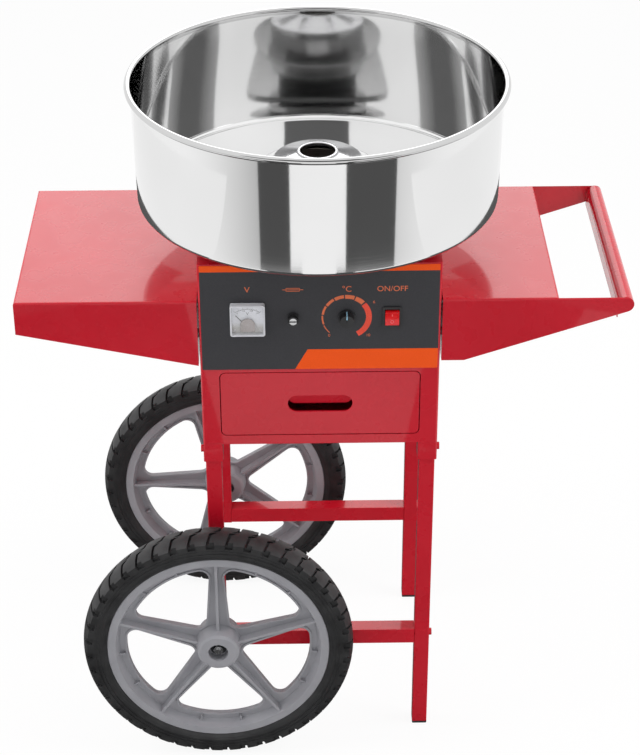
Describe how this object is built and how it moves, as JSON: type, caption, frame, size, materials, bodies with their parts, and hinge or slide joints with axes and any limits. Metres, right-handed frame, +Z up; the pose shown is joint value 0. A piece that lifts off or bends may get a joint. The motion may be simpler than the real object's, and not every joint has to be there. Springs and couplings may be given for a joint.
{
  "type": "cotton candy cart",
  "caption": "Cotton candy cart: steel bowl with spinning sugar head over a red control cabinet with drawer, side trays with push handle, tubular legs and spoked wheels.",
  "frame": {"origin": "on the floor, under the middle of the cart's overall length and width", "axes": "+X towards the push handle, +Y towards the back (controls face -Y), +Z up"},
  "size_m": [0.832, 0.52, 0.992],
  "materials": {
    "red_paint": "gloss enamel",
    "zinc_sheet": "zinc plated",
    "panel_film": "satin printed film",
    "polished_stainless": "mirror polished",
    "spun_aluminium": "spun, satin",
    "bright_steel": "bright zinc",
    "black_plastic": "fine grain",
    "meter_body": "glossy",
    "meter_card": "matt white",
    "clear_window": "clear",
    "fuse_glass": "clear with nickel caps",
    "red_lens": "translucent red",
    "circuit_board": "solder mask",
    "heater_alloy": "oxidised",
    "copper_ring": "turned",
    "motor_enamel": "black enamel",
    "damper_rubber": "matt",
    "grey_nylon": "moulded, fine grain",
    "bush_nylon": "natural",
    "tyre_rubber": "moulded tread"
  },
  "bodies": {
    "cart": {"cabinet_shell": "red_paint", "back_cover": "red_paint", "top_deck": "red_paint", "base_plate": "red_paint", "leg_sockets": "red_paint", "front_left_leg": "red_paint", "rear_left_leg": "red_paint", "front_right_leg": "red_paint", "rear_right_leg": "red_paint", "front_stretcher": "red_paint", "rear_stretcher": "red_paint", "left_tray": "red_paint", "right_tray": "red_paint", "handle_tube": "red_paint", "frame_bolts": "red_paint", "drawer_shelf": "zinc_sheet", "drawer_runners": "zinc_sheet", "motor_bracket": "zinc_sheet", "control_panel": "panel_film", "bowl": "polished_stainless", "bowl_seat": "spun_aluminium", "stub_axles": "bright_steel", "axle_spacers": "bright_steel", "axle_nuts": "bright_steel", "cover_screws": "bright_steel", "tray_screws": "bright_steel", "potentiometer": "bright_steel", "fuse_holder": "black_plastic", "switch_housing": "black_plastic", "cable_gland": "black_plastic", "foot_caps": "black_plastic", "head_cowl": "black_plastic", "brush_holder": "black_plastic", "axle_washers": "black_plastic", "voltmeter_case": "meter_body", "voltmeter_dial": "meter_card", "voltmeter_window": "clear_window", "heat_controller": "circuit_board", "motor": "motor_enamel", "motor_dampers": "damper_rubber"},
    "front_wheel": {"front_rim": "grey_nylon", "front_tyre": "tyre_rubber", "front_bushes": "bush_nylon"},
    "rear_wheel": {"rear_rim": "grey_nylon", "rear_tyre": "tyre_rubber", "rear_bushes": "bush_nylon"},
    "spinning_head": {"spindle": "bright_steel", "head_base": "spun_aluminium", "heater_ring": "heater_alloy", "head_cover": "spun_aluminium", "head_nut": "bright_steel", "slip_rings": "copper_ring"},
    "drawer": {"drawer_box": "red_paint", "drawer_front": "red_paint"},
    "knob": {"temperature_knob": "black_plastic", "pot_shaft": "bright_steel"},
    "rocker_lever": {"rocker": "red_lens"},
    "fuse_carrier": {"fuse_cap": "black_plastic", "fuse_link": "fuse_glass"},
    "needle": {"voltmeter_needle": "black_plastic"}
  },
  "joints": [
    {"name": "front_wheel_spin", "type": "hinge", "parent": "cart", "child": "front_wheel", "pos_m": [-0.1555, -0.2095, 0.196], "axis": [0, 1, 0], "continuous": true},
    {"name": "rear_wheel_spin", "type": "hinge", "parent": "cart", "child": "rear_wheel", "pos_m": [-0.1555, 0.2095, 0.196], "axis": [0, 1, 0], "continuous": true},
    {"name": "head_spin", "type": "hinge", "parent": "cart", "child": "spinning_head", "pos_m": [-0.006, 0, 0.85], "axis": [0, 0, 1], "continuous": true},
    {"name": "drawer_slide", "type": "slide", "parent": "cart", "child": "drawer", "axis": [0, -1, 0], "range_m": [0, 0.22]},
    {"name": "knob_turn", "type": "hinge", "parent": "cart", "child": "knob", "pos_m": [0.03, -0.1708, 0.717], "axis": [0, 1, 0], "range_deg": [-140, 140]},
    {"name": "rocker_tilt", "type": "hinge", "parent": "cart", "child": "rocker_lever", "pos_m": [0.091, -0.1688, 0.717], "axis": [-1, 0, 0], "range_deg": [0, 16]},
    {"name": "fuse_cap_turn", "type": "hinge", "parent": "cart", "child": "fuse_carrier", "pos_m": [-0.042, -0.1708, 0.717], "axis": [0, 1, 0], "range_deg": [-90, 0]},
    {"name": "needle_swing", "type": "hinge", "parent": "cart", "child": "needle", "pos_m": [-0.103, -0.1748, 0.705], "axis": [0, 1, 0], "range_deg": [0, 84]}
  ]
}
